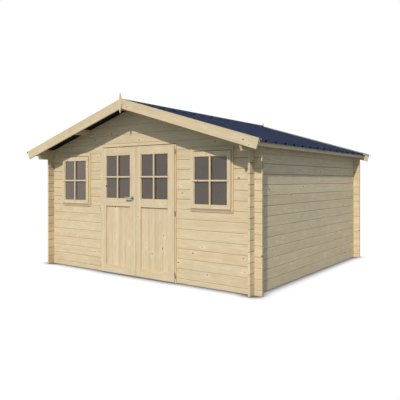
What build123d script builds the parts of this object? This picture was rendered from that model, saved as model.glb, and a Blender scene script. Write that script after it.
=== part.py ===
from build123d import *
from math import cos, floor, pi, radians, sin, tan
import os

# Garden shed of interlocking logs, in millimetres. +Z is up, the gable with the double door looks along -Y.
# The origin is on the ground, midway between the barge boards.

# Logs and the plan of the walls
log_pitch = 130.0
log_thickness = 28.0
log_chamfer = 5.5
log_seam = 0.4
tongue_width = 9.0
tongue_height = 9.0
groove_clearance = 0.5
notch_clearance = 0.4
corner_projection = 105.0
wall_width = 3790.0
wall_depth = 3540.0
side_courses = 13
half_share = 0.5
notch_share = 0.25

# Roof frame
roof_pitch = 16.87
plate_height = 150.0
plate_front_bevel_run = 140.0
plate_rear_bevel_run = 80.0
plate_bevel_height = 55.0
purlin_width = 40.0
purlin_height = 80.0
ridge_purlin_height = 100.0
purlin_place_share = 0.52
front_overhang = 315.0
rear_overhang = 115.0
eave_overhang = 235.0
eave_board_thickness = 37.0
eave_board_height = 52.0
barge_thickness = 20.0
barge_depth = 127.0
barge_rise = 49.0
rear_barge_rise = 39.0
finial_width = 71.0
finial_height = 273.0
finial_thickness = 20.0
finial_top_rise = 72.0

# Ribbed steel roofing
sheet_thickness = 1.0
sheet_overhang = 165.0
sheet_ridge_gap = 14.0
rib_pitch = 250.0
rib_height = 30.0
rib_base = 64.0
rib_top = 28.0
first_rib = 262.0
cap_wing = 145.0
cap_hem = 12.0
cap_end_gap = 3.0
crown_half = 34.0
crown_top_half = 12.0
crown_rise = 19.0
verge_overrun = 22.0
verge_drop = 20.0

# Door frame and leaves
door_frame_width = 1444.0
door_frame_height = 1833.0
jamb_face = 62.0
head_face = 31.0
settling_gap = 12.0
trim_proud = 18.0
groove_depth = 20.0
groove_end_gap = 0.8
stop_width = 15.0
threshold_height = 22.0
running_gap = 5.0
meeting_gap = 7.0
meeting_offset = 15.0
leaf_thickness = 40.0
leaf_proud = 19.0
lap_margin = 17.0
lap_bottom = 12.0
lap_top_margin = 1.0
meeting_stile = 104.0
hinge_stile = 112.0
top_rail = 117.0
lock_rail = 111.0
bottom_rail = 114.0
panel_height = 857.0
panel_thickness = 14.0
panel_recess = 20.0
panel_tongue = 10.0
glass_recess = 17.0
glass_thickness = 4.0
glass_edge = 8.0
seat_gap = 0.3

# Hinges and the lever handle
hinge_radius = 6.5
hinge_pin_radius = 2.5
hinge_pin_clearance = 0.2
hinge_height = 64.0
hinge_crown = 5.0
hinge_plate = 2.0
hinge_low_inset = 88.0
hinge_top_inset = 95.0
fitting_sides = 8
rose_sides = 12
lever_height = 1102.0
lever_radius = 9.0
spindle_radius = 7.0
lever_clearance = 0.4
lever_length = 112.0
lever_projection = 55.0
rose_radius = 26.0
rose_thickness = 8.0

# Fixed windows
window_x = 1286.0
window_first_course = 8
window_courses = 6
window_casing_width = 650.0
casing_face = 45.0
head_recess = 14.0
head_drop = 40.0
sill_height = 45.0
sill_lap = 20.0
sill_nose = 36.0
sill_foot = 8.0
sash_width = 604.0
sash_height = 718.0
sash_proud = 27.5
sash_stile = 50.0
sash_bottom_rail = 47.0
sash_top_rail = 62.0

overrun = 5.0

# Places worked out from the driving sizes
slope = tan(radians(roof_pitch))
along = cos(radians(roof_pitch))
across = sin(radians(roof_pitch))
half_width = wall_width / 2
log_half = half_width + corner_projection
front_y = front_overhang - (front_overhang + wall_depth + rear_overhang) / 2
back_y = front_y + wall_depth
plate_base = side_courses * log_pitch
eave_seat = plate_base + plate_height
ridge_seat = eave_seat + half_width * slope
barge_front = front_y - front_overhang
barge_back = back_y + rear_overhang
roof_front = barge_front + barge_thickness + seat_gap
roof_back = barge_back - barge_thickness - seat_gap
door_half = door_frame_width / 2
door_clear_half = door_half - jamb_face
door_wall_half = door_half - groove_depth + groove_end_gap
door_clear_height = door_frame_height - head_face
trim_front = front_y - trim_proud
trim_back = front_y + log_thickness + trim_proud
leaf_front = trim_front - leaf_proud
leaf_back = leaf_front + leaf_thickness
lap_back = trim_front - running_gap
lap_edge = door_half - lap_margin
light_far = lap_edge - hinge_stile
lap_top = door_frame_height - lap_top_margin
leaf_bottom = threshold_height + running_gap
leaf_top = door_clear_height - running_gap
leaf_hinge_edge = door_clear_half - running_gap
left_free_edge = meeting_offset - meeting_gap / 2
right_free_edge = meeting_offset + meeting_gap / 2
hinge_x = lap_edge + seat_gap + hinge_plate + hinge_radius
hinge_y = trim_front - seat_gap - hinge_plate - hinge_radius
lever_x = (left_free_edge - meeting_stile) / 2
window_half = window_casing_width / 2
window_wall_half = window_half - groove_depth + groove_end_gap


def seat(x):
    # Height of the roofing's underside at a distance from the ridge
    return ridge_seat - abs(x) * slope


def block(xs, ys, zs):
    # Box between two limits on each axis, given in any order
    spans = [(min(pair), max(pair)) for pair in (xs, ys, zs)]
    middle = [(low + high) / 2 for low, high in spans]
    size = [high - low for low, high in spans]
    return Pos(*middle) * Box(*size)


def prism(points, travel):
    # Outline in space, drawn out along a vector
    return Solid.extrude(Face(Wire.make_polygon(points, close=True)), Vector(*travel))


def prism_along_y(outline, start, end):
    return prism([(x, start, z) for x, z in outline], (0, end - start, 0))


def prism_along_x(outline, start, end):
    return prism([(start, y, z) for y, z in outline], (end - start, 0, 0))


def cut(shape, tools):
    for tool in tools:
        shape = shape - tool
    return shape


def pieces(shapes):
    # All separate solids of a list of shapes
    return [solid for shape in shapes for solid in shape.solids()]


def save(name, *shapes):
    os.makedirs("parts", exist_ok=True)
    export_step(Compound(label=name, children=pieces(shapes)), f"parts/{name}.step")


# Logs
def log_outline(bottom, top, tongue=True, groove=True):
    # Section as (depth from the outer face, height): a chamfered outer face, a wedge tongue on top, its groove below
    middle = log_thickness / 2
    tongue_half = tongue_width / 2
    groove_half = tongue_half + groove_clearance
    outline = [(0, bottom + log_chamfer), (0, top - log_chamfer), (log_chamfer, top)]
    if tongue:
        outline += [(middle - tongue_half, top), (middle, top + tongue_height), (middle + tongue_half, top)]
    outline += [(log_thickness, top), (log_thickness, bottom)]
    if groove:
        roof = bottom + tongue_height + groove_clearance
        outline += [(middle + groove_half, bottom), (middle, roof), (middle - groove_half, bottom)]
    outline.append((log_chamfer, bottom))
    return outline


def course(level):
    # Bottom and top of a course that starts this many pitches above the ground
    bottom = max(level, 0) * log_pitch
    top = (level + 1) * log_pitch
    return (bottom + log_seam / 2 if level > 0 else 0), top - log_seam / 2


def corner_notches(level, places, reach):
    # Cuts above and below the neck that is left where two walls cross
    low = (level + notch_share) * log_pitch + notch_clearance / 2
    high = (level + 1 - notch_share) * log_pitch - notch_clearance / 2
    cuts = []
    for xs, ys in places:
        cuts.append(block(xs, ys, (high, high + reach)))
        if low > 0:
            cuts.append(block(xs, ys, (low - reach, low)))
    return cuts


def crossings_on_gable_wall(face, inward):
    # Where the side walls pass through a log that runs along X
    ys = (face - inward * overrun, face + inward * (log_thickness + overrun))
    outer = half_width + notch_clearance
    inner = half_width - log_thickness - notch_clearance
    return [((inner, outer), ys), ((-inner, -outer), ys)]


def crossings_on_side_wall(side):
    # Where the gable walls pass through a log that runs along Y
    xs = (side * (half_width + overrun), side * (half_width - log_thickness - overrun))
    gap = notch_clearance
    front = (front_y - gap, front_y + log_thickness + gap)
    back = (back_y + gap, back_y - log_thickness - gap)
    return [(xs, front), (xs, back)]


def gable_wall_log(level, face, inward, top=None):
    bottom, usual_top = course(level)
    section = log_outline(bottom, top or usual_top, tongue=top is None, groove=level > 0)
    outline = [(face + inward * depth, height) for depth, height in section]
    log = prism_along_x(outline, -log_half, log_half)
    return cut(log, corner_notches(level, crossings_on_gable_wall(face, inward), 2 * log_pitch))


def side_wall_log(level, side):
    bottom, top = course(level)
    outline = [(side * (half_width - depth), height) for depth, height in log_outline(bottom, top, True, level > 0)]
    log = prism_along_y(outline, front_y - corner_projection, back_y + corner_projection)
    return cut(log, corner_notches(level, crossings_on_side_wall(side), log_pitch))


def purlin_outline(place, width, height, grow=0):
    # Plumb section whose top follows the roof
    half = width / 2 + grow
    bottom = seat(place) - height - grow
    edges = [place - half, place + half]
    tops = [(edge, seat(edge) - seat_gap + 2 * grow) for edge in reversed(edges)]
    if place == 0:
        tops.insert(1, (0, seat(0) - seat_gap + 2 * grow))
    return [(edges[0], bottom), (edges[1], bottom)] + tops


def purlin_places():
    offset = purlin_place_share * half_width
    return {
        "ridge_purlin": (0, ridge_purlin_height),
        "left_purlin": (-offset, purlin_height),
        "right_purlin": (offset, purlin_height),
    }


def under_roof(face, inward):
    # All that lies below the roofing, as thick as a wall
    reach = log_half + overrun
    tops = [(reach, seat(reach) - seat_gap), (0, ridge_seat - seat_gap), (-reach, seat(reach) - seat_gap)]
    outline = [(-reach, -overrun), (reach, -overrun)] + tops
    return prism_along_y(outline, face - inward * overrun, face + inward * (log_thickness + overrun))


def gable_logs(face, inward):
    # Full courses, then the gable's logs, cut to the roof and round the purlins. The top one runs to the ridge.
    first = side_courses + half_share
    count = max(1, round((ridge_seat - first * log_pitch) / log_pitch))
    roof = under_roof(face, inward)
    ends = (face - inward * overrun, face + inward * (log_thickness + overrun))
    slots = []
    for place, height in purlin_places().values():
        slots.append(prism_along_y(purlin_outline(place, purlin_width, height, notch_clearance), *ends))
    lower = [gable_wall_log(step - half_share, face, inward) for step in range(side_courses + 1)]
    upper = []
    for step in range(count):
        top = ridge_seat if step == count - 1 else None
        log = gable_wall_log(first + step, face, inward, top) & roof
        upper.append(cut(pieces([log])[0], slots))
    return lower, upper


def make_walls():
    for side, name in ((-1, "left_wall"), (1, "right_wall")):
        save(name, *[side_wall_log(level, side) for level in range(side_courses)])
    lower, upper = gable_logs(back_y, -1)
    save("back_wall", *lower)
    save("back_gable", *upper)
    # The front wall ends in the door's jambs and in the windows' casings
    lower, upper = gable_logs(front_y, 1)
    depth = (front_y - overrun, front_y + log_thickness + overrun)
    doorway_top = door_frame_height + settling_gap
    holes = [block((-door_wall_half, door_wall_half), depth, (-overrun, doorway_top))]
    for side in (-1, 1):
        edges = (side * window_x - window_wall_half, side * window_x + window_wall_half)
        holes.append(block(edges, depth, window_opening()))
    left, right, over = [], [], []
    for log in pieces([cut(log, holes) for log in lower + upper]):
        box = log.bounding_box()
        group = left if box.max.X < 0 else right if box.min.X > 0 else over
        group.append(log)
    save("front_wall_left", *left)
    save("front_wall_right", *right)
    save("front_gable", *over)


# Roof
def make_wall_plates():
    # Top log of each side wall, bevelled to the roof, running out to the barge boards with a bevelled nose
    section = log_outline(plate_base + log_seam / 2, eave_seat - seat_gap, tongue=False)
    low = plate_base + log_seam / 2
    for side, name in ((-1, "left_wall_plate"), (1, "right_wall_plate")):
        outline = []
        for depth, height in section:
            place = half_width - depth
            on_top = height > eave_seat - log_chamfer
            outline.append((side * place, seat(place) - seat_gap if on_top else height))
        plate = prism_along_y(outline, roof_front, roof_back)
        xs = (side * (half_width + overrun), side * (half_width - log_thickness - overrun))
        noses = []
        for end, way, run in ((roof_front, 1, plate_front_bevel_run), (roof_back, -1, plate_rear_bevel_run)):
            rise = plate_bevel_height
            back = overrun * run / rise
            wedge = [(end - way * back, low + rise + overrun), (end + way * (run + back), low - overrun)]
            wedge.append((end - way * back, low - overrun))
            noses.append(prism_along_x(wedge, *xs))
        notches = corner_notches(side_courses, crossings_on_side_wall(side), log_pitch)
        save(name, cut(plate, noses + notches))


def make_purlins():
    for name, (place, height) in purlin_places().items():
        save(name, prism_along_y(purlin_outline(place, purlin_width, height), roof_front, roof_back))


def make_eave_boards():
    inner = log_half + seat_gap
    outer = inner + eave_board_thickness
    bottom = seat((inner + outer) / 2) - eave_board_height
    for side, name in ((-1, "left_eave_board"), (1, "right_eave_board")):
        outline = [(side * inner, bottom), (side * outer, bottom)]
        outline += [(side * place, seat(place) - seat_gap) for place in (outer, inner)]
        save(name, prism_along_y(outline, roof_front, roof_back))


def above_seat(x, height):
    # Point on a line parallel to the roof, this far above its underside
    return x, seat(x) + height / along


def make_barge_boards(gable, start, rise):
    run = half_width + eave_overhang
    top_end = above_seat(run, rise)
    bottom_end = (top_end[0] - barge_depth * across, top_end[1] - barge_depth * along)
    ridge = seat_gap / 2
    outline = [above_seat(ridge, rise), top_end, bottom_end, above_seat(ridge, rise - barge_depth)]
    for side, name in ((-1, "left"), (1, "right")):
        mirrored = [(side * x, z) for x, z in outline]
        save(f"{gable}_{name}_barge_board", prism_along_y(mirrored, start, start + barge_thickness))


def make_finial(gable, start, rise):
    # Diamond board that covers the barge boards' mitre
    top = ridge_seat + rise / along + finial_top_rise
    bottom = top - finial_height
    middle = (top + bottom) / 2
    outline = [(0, bottom), (finial_width / 2, middle), (0, top), (-finial_width / 2, middle)]
    save(f"{gable}_finial", prism_along_y(outline, start, start + finial_thickness))


def make_verge_trim(gable, outer, inward, rise):
    # Folded strips over the barge boards, with a leg down to the roofing and a turned-down end at the eave
    run = half_width + eave_overhang
    ridge = seat_gap / 2
    low = rise + seat_gap
    high = low + sheet_thickness
    end = run + verge_overrun
    tip = above_seat(end, high)[1] - verge_drop
    inner = end - sheet_thickness
    strip = [above_seat(ridge, low), above_seat(ridge, high), above_seat(end, high), (end, tip), (inner, tip)]
    strip.append(above_seat(inner, low))
    foot = sheet_thickness + seat_gap
    leg = [above_seat(ridge, foot), above_seat(run, foot), above_seat(run, low), above_seat(ridge, low)]
    leg_start = outer + inward * (barge_thickness + seat_gap)
    leg_end = leg_start + inward * sheet_thickness
    trims = []
    for side in (-1, 1):
        trim = prism_along_y([(side * x, z) for x, z in strip], outer, leg_end)
        trims.append(trim + prism_along_y([(side * x, z) for x, z in leg], leg_start, leg_end))
    save(f"{gable}_verge_trim", *trims)


def rib_line():
    # One edge of the sheet across its ribs, as (place along Y, height above the underside)
    line = [(roof_front, 0)]
    count = floor((roof_back - roof_front - first_rib - rib_base / 2) / rib_pitch) + 1
    for index in range(count):
        middle = roof_front + first_rib + index * rib_pitch
        line += [(middle - rib_base / 2, 0), (middle - rib_top / 2, rib_height)]
        line += [(middle + rib_top / 2, rib_height), (middle + rib_base / 2, 0)]
    return line + [(roof_back, 0)]


def make_roof_sheets():
    line = rib_line()
    profile = line + [(y, height + sheet_thickness) for y, height in reversed(line)]
    start = sheet_ridge_gap
    run = half_width + sheet_overhang - start
    for side, name in ((-1, "left_roof_sheet"), (1, "right_roof_sheet")):
        points = []
        for y, height in profile:
            points.append((side * (start + height * across), y, seat(start) + height * along))
        save(name, prism(points, (side * run, 0, -run * slope)))


def make_ridge_cap():
    # Folded strip that lies on the ribs, with a raised crown and a hem folded back along each edge
    under = rib_height + sheet_thickness + seat_gap
    over = under + sheet_thickness
    wing = cap_wing * along
    hem = wing - cap_hem * along
    half = [above_seat(crown_top_half, over + crown_rise), above_seat(crown_half, over), above_seat(hem, over)]
    half += [above_seat(hem, over + sheet_thickness), above_seat(wing, over + sheet_thickness)]
    half += [above_seat(wing, under), above_seat(crown_half, under), above_seat(crown_top_half, under + crown_rise)]
    outline = half + [(-x, z) for x, z in reversed(half)]
    save("ridge_cap", prism_along_y(outline, roof_front + cap_end_gap, roof_back - cap_end_gap))


# Door frame
def channel(low, high, depth, ys):
    # Plan of a frame member: low and high are its inner and outer edges, with a groove at the outer one for the logs
    groove_front = front_y - groove_clearance
    groove_back = front_y + log_thickness + groove_clearance
    groove = high - depth
    outline = [(low, ys[0]), (high, ys[0]), (high, groove_front), (groove, groove_front)]
    return outline + [(groove, groove_back), (high, groove_back), (high, ys[1]), (low, ys[1])]


def make_door_frame():
    stop_front = leaf_back + running_gap
    for side, name in ((-1, "door_left_jamb"), (1, "door_right_jamb")):
        plan = channel(door_clear_half, door_half, groove_depth, (trim_front, trim_back))
        rebate = door_clear_half - stop_width
        plan += [(rebate, trim_back), (rebate, stop_front), (door_clear_half, stop_front)]
        base = [(side * x, y, 0) for x, y in plan]
        save(name, prism(base, (0, 0, door_frame_height)))
    inner = door_clear_half - seat_gap
    stop_half = door_clear_half - stop_width - seat_gap
    # Head and threshold fit between the jambs and, behind, between their stops
    front_depth = (trim_front, stop_front - seat_gap)
    rear_depth = (stop_front - seat_gap, trim_back)
    head = block((-inner, inner), front_depth, (door_clear_height, door_frame_height))
    stop = block((-stop_half, stop_half), (stop_front, trim_back), (door_clear_height - stop_width, door_frame_height))
    web = block((-stop_half, stop_half), rear_depth, (door_clear_height, door_frame_height))
    save("door_head", head + web + stop)
    tread = block((-inner, inner), front_depth, (0, threshold_height))
    save("door_threshold", tread + block((-stop_half, stop_half), rear_depth, (0, threshold_height)))


# Door leaves
def lapped(xs, lap_xs, zs, lap_zs):
    # Member of a leaf: a core inside the frame and a lap that covers the frame's face
    return block(xs, (lap_back, leaf_back), zs) + block(lap_xs, (leaf_front, lap_back), lap_zs)


def pane(xs, ys, zs, edge, gap=0):
    # Sheet that reaches into the frame round an opening by its edge
    grown = edge + gap
    return block((xs[0] - grown, xs[1] + grown), (ys[0] - gap, ys[1] + gap), (zs[0] - grown, zs[1] + grown))


def make_leaf(side, name, free_edge):
    panel_bottom = lap_bottom + bottom_rail
    panel_top = panel_bottom + panel_height
    light_bottom = panel_top + lock_rail
    light_top = lap_top - top_rail
    opening = sorted((side * meeting_stile, side * light_far))
    meeting = (free_edge, side * meeting_stile)
    hanging = (side * light_far, side * leaf_hinge_edge)
    between = (opening[0] + seat_gap, opening[1] - seat_gap)
    core = (leaf_bottom, leaf_top)
    lap = (lap_bottom, lap_top)
    lock = (panel_top, light_bottom)
    members = [
        lapped(meeting, meeting, core, lap),
        lapped(hanging, (side * light_far, side * lap_edge), core, lap),
        lapped(between, between, (leaf_bottom, panel_bottom), (lap_bottom, panel_bottom)),
        lapped(between, between, lock, lock),
        lapped(between, between, (light_top, leaf_top), (light_top, lap_top)),
    ]
    panel_front = leaf_front + panel_recess
    panel = (opening, (panel_front, panel_front + panel_thickness), (panel_bottom, panel_top), panel_tongue)
    glass_front = leaf_front + glass_recess
    glass = (opening, (glass_front, glass_front + glass_thickness), (light_bottom, light_top), glass_edge)
    seats = [pane(*panel, seat_gap), pane(*glass, seat_gap)]
    if side < 0:
        seats.append(lever_bore(spindle_radius + 2 * lever_clearance, leaf_front, leaf_back, fitting_sides))
    save(f"{name}_door_frame", *[cut(member, seats) for member in members])
    save(f"{name}_door_panel", pane(*panel))
    save(f"{name}_door_glass", pane(*glass))


# Fittings
def many_sided(start, travel, radius, sides):
    # Prism with its flat sides at this distance from an axis along X, Y or Z
    corner = radius / cos(pi / sides)
    points = []
    for index in range(sides):
        turn = (index + half_share) * 2 * pi / sides
        spread = [corner * sin(turn), corner * cos(turn)]
        points.append([place if step else place + spread.pop() for place, step in zip(start, travel)])
    return prism(points, travel)


def lever_bore(radius, start, end, sides):
    # Hole along Y for the lever's spindle, cut past both faces
    return many_sided((lever_x, start - overrun, lever_height), (0, end - start + 2 * overrun, 0), radius, sides)


def hinge_levels():
    low = lap_bottom + hinge_low_inset
    high = lap_top - hinge_top_inset
    return [low, (low + high) / 2, high]


def make_hinges():
    # Lift-off hinges: the half on the frame carries the pin, the half on the leaf's edge turns on it
    fixed = []
    for side, name in ((-1, "left"), (1, "right")):
        moving = []
        x = side * hinge_x
        frame_xs = (side * (hinge_x - hinge_radius), side * (door_half - seat_gap))
        frame_ys = (hinge_y + hinge_radius, trim_front - seat_gap)
        leaf_xs = (side * (lap_edge + seat_gap), side * (hinge_x - hinge_radius))
        leaf_ys = (leaf_front + seat_gap, lap_back - seat_gap)
        for middle in hinge_levels():
            bottom = middle - hinge_height / 2
            top = middle + hinge_height / 2
            lower = (bottom, middle - seat_gap / 2)
            upper = (middle + seat_gap / 2, top)
            knuckle = many_sided((x, hinge_y, bottom), (0, 0, lower[1] - bottom), hinge_radius, fitting_sides)
            pin = Solid.make_cylinder(hinge_pin_radius, top - hinge_crown - bottom, Plane((x, hinge_y, bottom)))
            fixed.append(knuckle + pin + block(frame_xs, frame_ys, lower))
            socket = many_sided((x, hinge_y, upper[0]), (0, 0, top - upper[0]), hinge_radius, fitting_sides)
            hole = hinge_pin_radius + hinge_pin_clearance
            reach = (0, 0, top - hinge_crown + seat_gap - bottom)
            bore = many_sided((x, hinge_y, bottom), reach, hole, fitting_sides)
            moving.append(socket + block(leaf_xs, leaf_ys, upper) - bore)
        save(f"{name}_hinge_leaves", *moving)
    save("door_hinge_pins", *fixed)


def make_handle():
    # Lever on both faces of the left leaf, on one spindle, with a rose on each face
    rose_faces = (leaf_front - rose_thickness, leaf_back + rose_thickness)
    roses = []
    necks = []
    ends = []
    for face, way in ((leaf_front, -1), (leaf_back, 1)):
        rose_start = face + way * seat_gap
        rose = many_sided((lever_x, rose_start, lever_height), (0, way * rose_thickness, 0), rose_radius, rose_sides)
        roses.append(rose - lever_bore(spindle_radius + lever_clearance, *rose_faces, rose_sides))
        neck_start = rose_start + way * (rose_thickness + seat_gap)
        reach = face + way * lever_projection
        neck = (0, reach + way * lever_radius - neck_start, 0)
        necks.append(many_sided((lever_x, neck_start, lever_height), neck, lever_radius, fitting_sides))
        root = (lever_x + lever_radius, reach, lever_height)
        necks.append(many_sided(root, (-lever_length - lever_radius, 0, 0), lever_radius, fitting_sides))
        ends.append(neck_start)
    base = Plane((lever_x, ends[0], lever_height), z_dir=(0, 1, 0))
    lever = Solid.make_cylinder(spindle_radius, ends[1] - ends[0], base)
    for neck in necks:
        lever = lever + neck
    save("lever_handle", lever)
    save("handle_roses", *roses)


# Windows
def window_opening():
    low = (window_first_course - half_share) * log_pitch
    return low, low + window_courses * log_pitch


def make_window(side, name):
    middle = side * window_x
    opening_bottom, opening_top = window_opening()
    bottom = opening_bottom + sill_height - sill_lap
    head_bottom = opening_top - casing_face + groove_depth - groove_end_gap
    head_top = head_bottom + casing_face
    depth = (trim_front, trim_back)
    casing = []
    for edge in (-1, 1):
        plan = channel(window_half - casing_face, window_half, groove_depth, depth)
        base = [(middle + edge * x, y, bottom + seat_gap) for x, y in plan]
        casing.append(prism(base, (0, 0, head_bottom - bottom - 2 * seat_gap)))
    section = [(y, z) for z, y in channel(head_bottom, head_top, groove_depth, depth)]
    head = prism_along_x(section, middle - window_half, middle + window_half)
    bed_half = window_wall_half - groove_end_gap
    wall_depths = (front_y - groove_clearance, front_y + log_thickness + groove_clearance)
    log_ends = []
    for edge in (-1, 1):
        xs = (middle + edge * bed_half, middle + edge * (window_half + overrun))
        log_ends.append(block(xs, wall_depths, (head_bottom - overrun, head_top + overrun)))
    inner = window_half - casing_face - seat_gap
    lining = block((middle - inner, middle + inner), (trim_front + head_recess, trim_back),
                   (head_bottom - head_drop, head_bottom))
    casing.append(cut(head, log_ends) + lining)
    save(f"{name}_window_casing", *casing)
    # Sill whose front leans back towards the wall
    lap = opening_bottom - sill_lap
    back = front_y - seat_gap
    outline = [(front_y - sill_nose, bottom), (front_y - sill_foot, lap), (back, lap), (back, bottom)]
    sill = prism_along_x(outline, middle - window_half, middle + window_half)
    bed_zs = (opening_bottom + seat_gap, bottom)
    sill = sill + block((middle - bed_half, middle + bed_half), (back, trim_back), bed_zs)
    save(f"{name}_window_sill", sill)
    # Fixed sash on the casing's face, with its glass
    xs = (middle - sash_width / 2, middle + sash_width / 2)
    ys = (trim_front - sash_proud, trim_front - seat_gap)
    zs = (bottom + seat_gap, bottom + sash_height)
    light_xs = (xs[0] + sash_stile, xs[1] - sash_stile)
    light_zs = (zs[0] + sash_bottom_rail, zs[1] - sash_top_rail)
    between = (light_xs[0] + seat_gap, light_xs[1] - seat_gap)
    members = [block((xs[0], light_xs[0]), ys, zs), block((light_xs[1], xs[1]), ys, zs)]
    members += [block(between, ys, (zs[0], light_zs[0])), block(between, ys, (light_zs[1], zs[1]))]
    glass_front = ys[0] + glass_recess
    glass = (light_xs, (glass_front, glass_front + glass_thickness), light_zs, glass_edge)
    save(f"{name}_window_sash", *[cut(member, [pane(*glass, seat_gap)]) for member in members])
    save(f"{name}_window_glass", pane(*glass))


make_walls()
make_wall_plates()
make_purlins()
make_eave_boards()
make_roof_sheets()
make_ridge_cap()
make_barge_boards("front", barge_front, barge_rise)
make_barge_boards("back", barge_back - barge_thickness, rear_barge_rise)
make_verge_trim("front", barge_front, 1, barge_rise)
make_verge_trim("back", barge_back, -1, rear_barge_rise)
make_finial("front", barge_front - seat_gap - finial_thickness, barge_rise)
make_finial("back", barge_back + seat_gap, rear_barge_rise)
make_door_frame()
make_leaf(-1, "left", left_free_edge)
make_leaf(1, "right", right_free_edge)
make_hinges()
make_handle()
make_window(-1, "left")
make_window(1, "right")
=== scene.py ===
# Garden shed of interlocking spruce logs: finishes, small fittings, light and camera
import math
from functools import partial

import bmesh
import bpy
from mathutils import Euler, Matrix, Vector


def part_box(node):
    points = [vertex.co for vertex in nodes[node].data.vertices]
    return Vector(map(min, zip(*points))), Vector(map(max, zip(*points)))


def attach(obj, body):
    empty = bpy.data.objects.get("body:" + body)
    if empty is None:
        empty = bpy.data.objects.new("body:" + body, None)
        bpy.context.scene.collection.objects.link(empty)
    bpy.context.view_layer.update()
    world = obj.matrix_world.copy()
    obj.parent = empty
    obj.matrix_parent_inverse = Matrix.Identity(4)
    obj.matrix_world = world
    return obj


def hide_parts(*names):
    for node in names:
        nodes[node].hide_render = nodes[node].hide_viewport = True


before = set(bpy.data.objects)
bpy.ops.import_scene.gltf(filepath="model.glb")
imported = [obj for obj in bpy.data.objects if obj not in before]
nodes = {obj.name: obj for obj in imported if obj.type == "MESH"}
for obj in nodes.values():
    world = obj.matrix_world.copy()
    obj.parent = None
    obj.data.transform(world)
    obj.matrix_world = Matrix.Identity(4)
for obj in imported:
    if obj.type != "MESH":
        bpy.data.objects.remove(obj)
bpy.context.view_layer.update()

mm = 0.001


def linear(hexColour):
    channels = [int(hexColour[i:i + 2], 16) / 255 for i in (1, 3, 5)]
    return (*[c / 12.92 if c < 0.04045 else ((c + 0.055) / 1.055) ** 2.4 for c in channels], 1.0)


def addNode(tree, kind, inputs=(), **settings):
    # inputs: a list in the order of the sockets, or a dictionary by their names or numbers.
    # Each is a value, a socket to link from, or a node, which stands for its first live output.
    node = tree.nodes.new(kind)
    for key, value in settings.items():
        setattr(node, key, value)
    for key, value in inputs.items() if isinstance(inputs, dict) else enumerate(inputs):
        if isinstance(value, bpy.types.Node):
            value = next(socket for socket in value.outputs if socket.enabled)
        if isinstance(value, bpy.types.NodeSocket):
            tree.links.new(value, node.inputs[key])
        else:
            node.inputs[key].default_value = value
    return node


def newMaterial(name):
    material = bpy.data.materials.new(name)
    material.use_nodes = True
    material.node_tree.nodes.clear()
    return material, partial(addNode, material.node_tree)


# Finishes

# Planed spruce, untreated: pale cream with soft streaks along the grain, small brown knots, a dull surface.
# Real year rings are 2 to 3 mm apart; they are drawn coarser so that they show.
spruceLook = {
    "body": "#d3c5a5",
    # Colours laid over the body: where each one's pattern begins and is full, and how strong it is there
    "pale": ("#e4dabd", 0.291667, 0.708333, 1.0),
    "streak": ("#c4af87", 0.352941, 0.941176, 1.0),
    "lateWood": ("#b49565", 0.0, 1.0, 0.22),
    "blush": ("#dabb9c", 0.0, 1.0, 0.25),
    "resin": ("#f1e8cf", 0.5, 0.833333, 0.3),
    "halo": ("#f1e8cf", 0.0, 1.0, 0.5),
    "knot": ("#7a5937", 0.0, 1.0, 0.9),
    "knotRim": ("#4f3820", 0.0, 1.0, 0.85),
    # Painted shade and dust in the groove under each log: its colour and height, and how much wider it is
    # past the crossing. Painted highlight: the share of the pale colour on each log's upper chamfer.
    "groove": "#7f6341",
    "grooveMm": 9.0,
    "wideGrooveShade": 1.9,             # how much wider the grooves look past the crossing
    "edgeLight": 0.35,             # share of the pale colour on a log's upper chamfer
    # Noise along the grain: length and width in mm, detail and roughness
    "streakNoise": (1100.0, 30.0, 3.0, 0.6),
    "fineNoise": (190.0, 5.0, 2.0, 0.6),
    "patchNoise": (170.0, 60.0, 2.0, 0.5),
    # Steps that give each log its own stretch of the patterns, its own lengths and its own knots
    "logSteps": (37.0, 31.7, 7.3),
    "ringMm": 8.0,
    "wavePeriod": 0.314,           # a wave texture repeats after this length at scale 1
    "ringStretch": 0.05,           # how much of the way along the wood the rings' wobble follows
    "ringWobble": 2.2,
    "ringDetail": (1.0, 0.6),      # detail of that wobble and its scale
    "ringBend": 7.0,               # how far the rings turn aside round a knot
    "pithSpreadMm": 130.0,         # how far the heart of the tree moves up or down from log to log
    "pithDepthMm": (20.0, 70.0),   # how deep it lies
    "jointEveryMm": 640.0,
    "knotEveryMm": (310.0, 150.0),
    "knotShare": 0.4,
    # Sizes of a knot, its soft edge, its rim and the clear wood round it, as shares of the knots' spacing
    "knotSizes": (0.025, 0.055),
    "knotSoft": 0.008333,
    "knotRimWide": 0.028571,
    "haloReach": 0.416667,
    "haloFade": 3.0,
    "endFacing": 0.9,              # how squarely a face looks along the grain to count as a cut end
    # Differences in brightness between logs, joined lengths, cut ends and the logs' overhangs
    "logTones": (-0.075, 0.015),
    "jointTones": 0.06,
    "endTones": (-0.1, 0.1),
    "overhangTones": (-0.1, 0.1),
    "roughness": (0.52, 0.72),
    "ringRelief": 0.35,
    "knotRelief": 0.4,
    "bumpMm": 0.5,
    "bumpStrength": 0.35,
    "specular": 0.15,
}


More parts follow.
